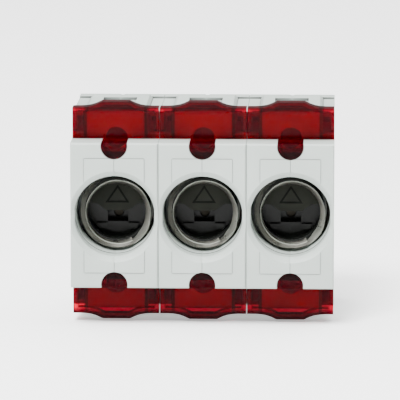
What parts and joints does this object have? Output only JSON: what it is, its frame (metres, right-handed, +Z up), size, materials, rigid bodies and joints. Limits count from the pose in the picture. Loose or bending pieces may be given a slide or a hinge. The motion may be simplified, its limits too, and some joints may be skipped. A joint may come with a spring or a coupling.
{
  "type": "three-pole screw-in fuse base",
  "caption": "Rail-mounted fuse base with round threaded sockets, translucent terminal covers and clamp terminals above and below.",
  "frame": {"origin": "middle of the face that rests on the rail, midway across the poles", "axes": "+X across the poles to the right as seen from the front, +Z up as mounted, -Y toward the user, +Y into the rail"},
  "size_m": [0.0808, 0.0527, 0.0682],
  "materials": {
    "housing": "satin moulded thermoplastic",
    "red_cover": "translucent gloss",
    "black_guard": "gloss moulded",
    "latch": "satin moulded",
    "nickel": "nickel plated, bright",
    "plated_contact": "tin plated, satin",
    "copper_contact": "silvered copper, satin",
    "clamp_steel": "zinc plated",
    "screw_steel": "zinc plated",
    "rivet_steel": "plain",
    "spring_steel": "bright wire"
  },
  "bodies": {
    "base": {"housing_left_1": "housing", "housing_right_1": "housing", "thread_coil_1": "nickel", "load_contact_1": "plated_contact", "centre_contact_1": "copper_contact", "insert_1": "black_guard", "latch_spring_1": "spring_steel", "housing_left_2": "housing", "housing_right_2": "housing", "thread_coil_2": "nickel", "load_contact_2": "plated_contact", "centre_contact_2": "copper_contact", "insert_2": "black_guard", "latch_spring_2": "spring_steel", "housing_left_3": "housing", "housing_right_3": "housing", "thread_coil_3": "nickel", "load_contact_3": "plated_contact", "centre_contact_3": "copper_contact", "insert_3": "black_guard", "latch_spring_3": "spring_steel", "rivets": "rivet_steel"},
    "latch_1": {"latch_1": "latch"},
    "cage_upper_1": {"cage_upper_1": "clamp_steel"},
    "terminal_screw_upper_1": {"terminal_screw_upper_1": "screw_steel"},
    "cover_upper_1": {"cover_upper_1": "red_cover"},
    "cage_lower_1": {"cage_lower_1": "clamp_steel"},
    "terminal_screw_lower_1": {"terminal_screw_lower_1": "screw_steel"},
    "cover_lower_1": {"cover_lower_1": "red_cover"},
    "latch_2": {"latch_2": "latch"},
    "cage_upper_2": {"cage_upper_2": "clamp_steel"},
    "terminal_screw_upper_2": {"terminal_screw_upper_2": "screw_steel"},
    "cover_upper_2": {"cover_upper_2": "red_cover"},
    "cage_lower_2": {"cage_lower_2": "clamp_steel"},
    "terminal_screw_lower_2": {"terminal_screw_lower_2": "screw_steel"},
    "cover_lower_2": {"cover_lower_2": "red_cover"},
    "latch_3": {"latch_3": "latch"},
    "cage_upper_3": {"cage_upper_3": "clamp_steel"},
    "terminal_screw_upper_3": {"terminal_screw_upper_3": "screw_steel"},
    "cover_upper_3": {"cover_upper_3": "red_cover"},
    "cage_lower_3": {"cage_lower_3": "clamp_steel"},
    "terminal_screw_lower_3": {"terminal_screw_lower_3": "screw_steel"},
    "cover_lower_3": {"cover_lower_3": "red_cover"}
  },
  "joints": [
    {"name": "latch_slide_1", "type": "slide", "parent": "base", "child": "latch_1", "axis": [0, 0, -1], "range_m": [0, 0.003], "stiffness_N_per_m": 500, "springref_m": -0.003, "deforming": ["latch_spring_1"]},
    {"name": "screw_turn_upper_1", "type": "hinge", "parent": "base", "child": "terminal_screw_upper_1", "pos_m": [-0.027, -0.028, 0.0223], "axis": [0, 1, 0], "range_deg": [0, 1441]},
    {"name": "cage_slide_upper_1", "type": "slide", "parent": "base", "child": "cage_upper_1", "axis": [0, -1, 0], "range_m": [0, 0.0032]},
    {"name": "cover_slide_upper_1", "type": "slide", "parent": "base", "child": "cover_upper_1", "axis": [0, 0, 1], "range_m": [0, 0.006]},
    {"name": "screw_turn_lower_1", "type": "hinge", "parent": "base", "child": "terminal_screw_lower_1", "pos_m": [-0.027, -0.028, -0.0223], "axis": [0, 1, 0], "range_deg": [0, 1441]},
    {"name": "cage_slide_lower_1", "type": "slide", "parent": "base", "child": "cage_lower_1", "axis": [0, -1, 0], "range_m": [0, 0.0032]},
    {"name": "cover_slide_lower_1", "type": "slide", "parent": "base", "child": "cover_lower_1", "axis": [0, 0, -1], "range_m": [0, 0.006]},
    {"name": "latch_slide_2", "type": "slide", "parent": "base", "child": "latch_2", "axis": [0, 0, -1], "range_m": [0, 0.003], "stiffness_N_per_m": 500, "springref_m": -0.003, "deforming": ["latch_spring_2"]},
    {"name": "screw_turn_upper_2", "type": "hinge", "parent": "base", "child": "terminal_screw_upper_2", "pos_m": [0, -0.028, 0.0223], "axis": [0, 1, 0], "range_deg": [0, 1441]},
    {"name": "cage_slide_upper_2", "type": "slide", "parent": "base", "child": "cage_upper_2", "axis": [0, -1, 0], "range_m": [0, 0.0032]},
    {"name": "cover_slide_upper_2", "type": "slide", "parent": "base", "child": "cover_upper_2", "axis": [0, 0, 1], "range_m": [0, 0.006]},
    {"name": "screw_turn_lower_2", "type": "hinge", "parent": "base", "child": "terminal_screw_lower_2", "pos_m": [0, -0.028, -0.0223], "axis": [0, 1, 0], "range_deg": [0, 1441]},
    {"name": "cage_slide_lower_2", "type": "slide", "parent": "base", "child": "cage_lower_2", "axis": [0, -1, 0], "range_m": [0, 0.0032]},
    {"name": "cover_slide_lower_2", "type": "slide", "parent": "base", "child": "cover_lower_2", "axis": [0, 0, -1], "range_m": [0, 0.006]},
    {"name": "latch_slide_3", "type": "slide", "parent": "base", "child": "latch_3", "axis": [0, 0, -1], "range_m": [0, 0.003], "stiffness_N_per_m": 500, "springref_m": -0.003, "deforming": ["latch_spring_3"]},
    {"name": "screw_turn_upper_3", "type": "hinge", "parent": "base", "child": "terminal_screw_upper_3", "pos_m": [0.027, -0.028, 0.0223], "axis": [0, 1, 0], "range_deg": [0, 1441]},
    {"name": "cage_slide_upper_3", "type": "slide", "parent": "base", "child": "cage_upper_3", "axis": [0, -1, 0], "range_m": [0, 0.0032]},
    {"name": "cover_slide_upper_3", "type": "slide", "parent": "base", "child": "cover_upper_3", "axis": [0, 0, 1], "range_m": [0, 0.006]},
    {"name": "screw_turn_lower_3", "type": "hinge", "parent": "base", "child": "terminal_screw_lower_3", "pos_m": [0.027, -0.028, -0.0223], "axis": [0, 1, 0], "range_deg": [0, 1441]},
    {"name": "cage_slide_lower_3", "type": "slide", "parent": "base", "child": "cage_lower_3", "axis": [0, -1, 0], "range_m": [0, 0.0032]},
    {"name": "cover_slide_lower_3", "type": "slide", "parent": "base", "child": "cover_lower_3", "axis": [0, 0, -1], "range_m": [0, 0.006]}
  ],
  "couplings": [
    {"joint": "screw_turn_upper_1", "follows": "cage_slide_upper_1", "rad_per_m": 7854},
    {"joint": "screw_turn_lower_1", "follows": "cage_slide_lower_1", "rad_per_m": 7854},
    {"joint": "screw_turn_upper_2", "follows": "cage_slide_upper_2", "rad_per_m": 7854},
    {"joint": "screw_turn_lower_2", "follows": "cage_slide_lower_2", "rad_per_m": 7854},
    {"joint": "screw_turn_upper_3", "follows": "cage_slide_upper_3", "rad_per_m": 7854},
    {"joint": "screw_turn_lower_3", "follows": "cage_slide_lower_3", "rad_per_m": 7854}
  ]
}
